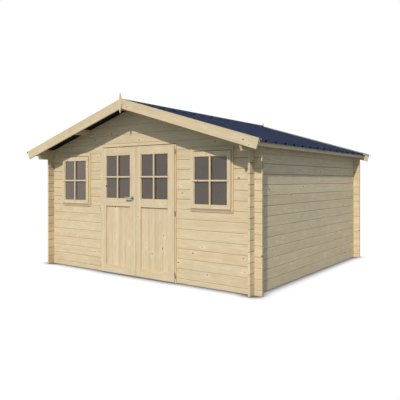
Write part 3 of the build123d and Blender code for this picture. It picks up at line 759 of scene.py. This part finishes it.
# Lift-off hinges: round knuckles with a turned tip, on folded plates. The lower halves stand on the frame.
hinges = {"count": 3, "x": 0.7138, "y": -1.6968, "low": 0.1, "step": 0.8185, "radiusMm": 6.5,
          "knuckleMm": 29.85, "tipMm": 2.0, "tipShare": 0.6, "seatMm": 0.15, "smoothAngle": 30,
          "sides": 20,
          "framePlateMm": (14.4, 2.0, 31.0), "framePlaceMm": (0.7, 7.5, 0.0),
          "leafPlateMm": (2.0, 13.4, 31.0), "leafPlaceMm": (-7.5, -3.2, 0.0)}


def hingeTree():
    tree, add, given = newTree("hingeHalves", {
        "Count": "Int", "Start": "Vector", "Step": "Vector", "Radius": "Float", "Length": "Float",
        "Tip": "Float", "Tip Place": "Vector", "Tip Turn": "Vector", "Plate": "Vector",
        "Plate Place": "Vector", "Material": "Material"})
    knuckle = add("GeometryNodeMeshCylinder", {
        "Vertices": hinges["sides"], "Radius": given["Radius"], "Depth": given["Length"]})
    narrow = add("ShaderNodeMath", [given["Radius"], hinges["tipShare"]], operation="MULTIPLY")
    tip = add("GeometryNodeMeshCone", {
        "Vertices": hinges["sides"], "Radius Bottom": given["Radius"], "Radius Top": narrow,
        "Depth": given["Tip"]})
    tipPlaced = add("GeometryNodeTransform", {
        0: tip, "Translation": given["Tip Place"], "Rotation": given["Tip Turn"]})
    plate = add("GeometryNodeMeshCube", {"Size": given["Plate"]})
    platePlaced = add("GeometryNodeTransform", {0: plate, "Translation": given["Plate Place"]})
    half = add("GeometryNodeJoinGeometry", [knuckle])
    for shape in (tipPlaced, platePlaced):
        tree.links.new(shape.outputs[0], half.inputs[0])
    row = add("GeometryNodeMeshLine", {
        "Count": given["Count"], "Start Location": given["Start"], "Offset": given["Step"]})
    placed = add("GeometryNodeInstanceOnPoints", {0: row, "Instance": half})
    closeTree(tree, placed, given["Material"])
    return tree


def makeHinges(tree, side, way, part, rise, body, node):
    # way: side of the doorway. rise: up for the halves on a leaf, down for those on the frame.
    look = hinges
    length = look["knuckleMm"] * mm
    lift = rise * (look["seatMm"] * mm + length / 2)
    x, y, z = [size * mm for size in look[part + "PlaceMm"]]
    piece = grow(f"{side}{part.capitalize()}Hinges", tree, {
        "Count": look["count"], "Start": (way * look["x"], look["y"], look["low"] + lift),
        "Step": (0.0, 0.0, look["step"]), "Radius": look["radiusMm"] * mm, "Length": length,
        "Tip": look["tipMm"] * mm, "Tip Place": (0.0, 0.0, rise * length / 2),
        "Tip Turn": (0.0 if rise > 0 else math.pi, 0.0, 0.0),
        "Plate": [size * mm for size in look[part + "PlateMm"]], "Plate Place": (way * x, y, z),
        "Material": hingeZinc})
    piece.data.shade_smooth()
    piece.data.set_sharp_from_angle(angle=math.radians(look["smoothAngle"]))
    settle(piece, hingeZinc, body)
    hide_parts(node)


halves = hingeTree()
for side, way in (("left", -1), ("right", 1)):
    makeHinges(halves, side, way, "frame", -1, "shed", "door_hinge_pins")
    makeHinges(halves, side, way, "leaf", 1, f"{side}_door", f"{side}_hinge_leaves")
print("hinges made")

# Countersunk screws in the barge boards, finials, casings and eave boards
boardScrews = {"headMm": 8.0, "crownMm": 5.5, "heightMm": 0.7, "sides": 12,
               "bargePlaces": (0.12, 0.985, 1.881, 2.02), "bargeRows": (-38.0, 38.0),
               "finialRows": (-55.0, 60.0), "bargeMiddleMm": {"front": -14.5, "back": -24.5},
               "casingRows": (1.05, 1.36, 1.68), "eavePlaces": 8, "eaveInset": 0.12, "eaveRiseMm": 26.0}


def headTree():
    tree, add, given = newTree("screwHeads", {
        "Head": "Float", "Crown": "Float", "Height": "Float", "Turn": "Rotation", "Material": "Material"})
    rim, crown = [
        add("ShaderNodeMath", [given[label], 0.5], operation="MULTIPLY") for label in ("Head", "Crown")]
    head = add("GeometryNodeMeshCone", {
        "Vertices": boardScrews["sides"], "Radius Bottom": rim, "Radius Top": crown,
        "Depth": given["Height"]})
    placed = add("GeometryNodeInstanceOnPoints", {
        0: given["Geometry"], "Instance": head, "Rotation": given["Turn"]})
    closeTree(tree, placed, given["Material"])
    return tree


def screwPlaces():
    # Points on each face, under the turn that points a head's crown out of it
    look = boardScrews
    slope = math.tan(pitch)
    groups = {"front": [], "back": [], "left": [], "right": []}
    for gable in ("front", "back"):
        board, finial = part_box(f"{gable}_left_barge_board"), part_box(f"{gable}_finial")
        pick = 0 if gable == "front" else 1
        for place in look["bargePlaces"]:
            middle = (roofForm["ridgeSeat"] - place * slope
                      + look["bargeMiddleMm"][gable] * mm / math.cos(pitch))
            for row in look["bargeRows"]:
                for way in (-1, 1):
                    groups[gable].append((way * (place + row * mm * math.sin(pitch)), board[pick].y,
                                          middle + row * mm * math.cos(pitch)))
        for row in look["finialRows"]:
            groups[gable].append((0.0, finial[pick].y, (finial[0].z + finial[1].z) / 2 + row * mm))
    for side, way in (("left", -1), ("right", 1)):
        low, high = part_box(f"{side}_window_casing")
        strip = (high.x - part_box(f"{side}_window_sash")[1].x) / 2
        for row in look["casingRows"]:
            groups["front"] += [(low.x + strip, low.y, row), (high.x - strip, low.y, row)]
        low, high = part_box(f"{side}_eave_board")
        for step in range(look["eavePlaces"]):
            y = (low.y + look["eaveInset"]
                 + (high.y - low.y - 2 * look["eaveInset"]) * step / (look["eavePlaces"] - 1))
            groups[side].append((high.x if way > 0 else low.x, y, low.z + look["eaveRiseMm"] * mm))
    return groups


def makeBoardScrews(tree, facing, points):
    look = boardScrews
    mesh = bpy.data.meshes.new(f"{facing}Screws")
    mesh.from_pydata(points, [], [])
    piece = grow(f"{facing}Screws", tree, {
        "Head": look["headMm"] * mm, "Crown": look["crownMm"] * mm, "Height": look["heightMm"] * mm,
        "Turn": screwTurns[facing], "Material": screwZinc}, mesh)
    settle(piece, screwZinc, "shed")


heads = headTree()
screwTurns = {"front": (math.pi / 2, 0.0, 0.0), "back": (-math.pi / 2, 0.0, 0.0),
              "left": (0.0, -math.pi / 2, 0.0), "right": (0.0, math.pi / 2, 0.0)}
for facing, points in screwPlaces().items():
    makeBoardScrews(heads, facing, points)
print("board screws made")

# Roofing screws: hexagon heads on round sealing washers, on every rib over the plates and purlins
# and through the cap
roofScrews = {"ribs": 15, "ribSpacing": 0.25, "firstRib": -1.7027,
              "headMm": 10.0, "headHeightMm": 6.0, "washerMm": 19.0, "washerHeightMm": 2.5,
              "headSides": 6, "washerSides": 12,
              "lines": {"slopeScrews": {"rows": 2, "nearRow": 0.9854, "rowStep": 0.895, "riseMm": 31.1},
                        "ridgeScrews": {"rows": 1, "nearRow": 0.085, "rowStep": 0.0, "riseMm": 32.4}}}


def screwTree():
    tree, add, given = newTree("roofingScrews", {
        "Rows": "Int", "Ribs": "Int", "Length": "Float", "Run": "Float",
        "Place": "Vector", "Mirrored Place": "Vector", "Turn": "Vector", "Mirrored Turn": "Vector",
        "Head": "Float", "Head Height": "Float", "Washer": "Float", "Washer Height": "Float",
        "Material": "Material"})
    rim, foot = [
        add("ShaderNodeMath", [given[label], 0.5], operation="MULTIPLY") for label in ("Head", "Washer")]
    washer = add("GeometryNodeMeshCone", {
        "Vertices": roofScrews["washerSides"], "Radius Bottom": foot, "Radius Top": rim,
        "Depth": given["Washer Height"]})
    head = add("GeometryNodeMeshCylinder", {
        "Vertices": roofScrews["headSides"], "Radius": rim, "Depth": given["Head Height"]})
    middle = add("ShaderNodeMath", [
        given["Head Height"], 0.5, given["Washer Height"]], operation="MULTIPLY_ADD")
    lift = add("ShaderNodeCombineXYZ", {2: middle})
    raised = add("GeometryNodeTransform", {0: head, "Translation": lift})
    screw = add("GeometryNodeJoinGeometry", [washer])
    tree.links.new(raised.outputs[0], screw.inputs[0])
    grid = add("GeometryNodeMeshGrid", {
        "Size X": given["Run"], "Size Y": given["Length"],
        "Vertices X": given["Rows"], "Vertices Y": given["Ribs"]})
    placed = add("GeometryNodeInstanceOnPoints", {0: grid, "Instance": screw})
    both = add("GeometryNodeJoinGeometry")
    for prefix in ("", "Mirrored "):
        slope = add("GeometryNodeTransform", {
            0: placed, "Translation": given[prefix + "Place"], "Rotation": given[prefix + "Turn"]})
        tree.links.new(slope.outputs[0], both.inputs[0])
    closeTree(tree, both, given["Material"])
    return tree


def makeRoofScrews(tree, name, line):
    look = roofScrews
    length = look["ribSpacing"] * (look["ribs"] - 1)
    span = line["rowStep"] * (line["rows"] - 1)
    rise = line["riseMm"] * mm
    middleX = line["nearRow"] + span / 2
    middleZ = roofForm["ridgeSeat"] - middleX * math.tan(pitch)
    x, y, z = (middleX + rise * math.sin(pitch), look["firstRib"] + length / 2,
               middleZ + rise * math.cos(pitch))
    piece = grow(name, tree, {
        "Rows": line["rows"], "Ribs": look["ribs"], "Length": length, "Run": span / math.cos(pitch),
        "Place": (x, y, z), "Mirrored Place": (-x, y, z),
        "Turn": (0.0, pitch, 0.0), "Mirrored Turn": (0.0, -pitch, 0.0),
        "Head": look["headMm"] * mm, "Head Height": look["headHeightMm"] * mm,
        "Washer": look["washerMm"] * mm, "Washer Height": look["washerHeightMm"] * mm,
        "Material": roofSteel})
    settle(piece, roofSteel, "shed")


screws = screwTree()
for name, line in roofScrews["lines"].items():
    makeRoofScrews(screws, name, line)
print("roofing screws made")

# Floor, light and camera
stageLook = {
    "floor": "#ffffff", "bounce": "#8f8d86", "size": 60.0, "floorDropMm": 1.0, "bounceDropMm": 2.0,
    # Reach of the shade at the walls' foot and in the closed room, the share of open air where each is full
    # and gone, and the floor's strength at both
    "contact": {"reach": 0.2, "air": (0.5, 0.94), "strength": (0.18, 1.02), "samples": 8},
    "room": {"reach": 3.0, "air": (0.02, 0.26), "strength": (0.3, 1.0), "samples": 16},
    "sky": "#d2ecff", "skyStrength": 0.52,
    "sun": "#fff4e8", "sunStrength": 3.02, "sunTravel": (-0.358, 1.0, -0.845), "sunSpread": 0.008,
}


def stagePlane(name, height, material):
    work = bmesh.new()
    bmesh.ops.create_grid(work, x_segments=1, y_segments=1, size=stageLook["size"])
    mesh = bpy.data.meshes.new(name)
    work.to_mesh(mesh)
    work.free()
    plane = bpy.data.objects.new(name, mesh)
    plane.location.z = height
    mesh.materials.append(material)
    bpy.context.scene.collection.objects.link(plane)
    return plane


# The floor is plain white and glows, with painted shade at the walls' foot and where walls and roof close it
# in
paleFloor, add = newMaterial("paleStudioFloor")
dims = []
for key in ("contact", "room"):
    shade = stageLook[key]
    air = add("ShaderNodeAmbientOcclusion", {"Distance": shade["reach"]}, samples=shade["samples"])
    dims.append(add("ShaderNodeMapRange", [air.outputs["AO"], *shade["air"], *shade["strength"]]))
dimmed = add("ShaderNodeMath", dims, operation="MULTIPLY")
glow = add("ShaderNodeEmission", {"Color": linear(stageLook["floor"]), "Strength": dimmed})
add("ShaderNodeOutputMaterial", [glow])
bounceFloor, add = newMaterial("bounceFloor")
add("ShaderNodeOutputMaterial", [
    add("ShaderNodeBsdfPrincipled", {"Base Color": linear(stageLook["bounce"])})])
shown = stagePlane("studioFloor", -stageLook["floorDropMm"] * mm, paleFloor)
shown.visible_diffuse = shown.visible_transmission = shown.visible_shadow = False
bounce = stagePlane("bounceFloor", -stageLook["bounceDropMm"] * mm, bounceFloor)
bounce.visible_camera = bounce.visible_glossy = False

world = bpy.data.worlds.new("studioSky")
bpy.context.scene.world = world
world.use_nodes = True
world.node_tree.nodes.clear()
add = partial(addNode, world.node_tree)
sky = add("ShaderNodeBackground", {"Color": linear(stageLook["sky"]), "Strength": stageLook["skyStrength"]})
white = add("ShaderNodeBackground", {"Color": linear(stageLook["floor"]), "Strength": 1.0})
rays = add("ShaderNodeLightPath")
plain = add("ShaderNodeMath", [
    rays.outputs["Is Camera Ray"], rays.outputs["Is Glossy Ray"]], operation="MAXIMUM")
backdrop = add("ShaderNodeMixShader", [plain, sky, white])
add("ShaderNodeOutputWorld", [backdrop])

sunLamp = bpy.data.lights.new("sun", "SUN")
sunLamp.energy = stageLook["sunStrength"]
sunLamp.angle = stageLook["sunSpread"]
sunLamp.color = linear(stageLook["sun"])[:3]
sun = bpy.data.objects.new("sun", sunLamp)
sun.rotation_euler = Vector(stageLook["sunTravel"]).to_track_quat("-Z", "Y").to_euler()
bpy.context.scene.collection.objects.link(sun)

cameraLook = {"place": (4.6843, -6.5526, 1.3572), "yaw": 0.633, "lensMm": 42.824, "sensorMm": 36.0,
              "shiftY": -0.0494}
lens = bpy.data.cameras.new("camera")
lens.lens = cameraLook["lensMm"]
lens.sensor_width = cameraLook["sensorMm"]
lens.shift_y = cameraLook["shiftY"]
camera = bpy.data.objects.new("camera", lens)
camera.location = cameraLook["place"]
camera.rotation_euler = Euler((math.pi / 2, 0, cameraLook["yaw"]))
bpy.context.scene.collection.objects.link(camera)
bpy.context.scene.camera = camera
bpy.context.scene.view_settings.view_transform = "Standard"
print("stage, light and camera set")
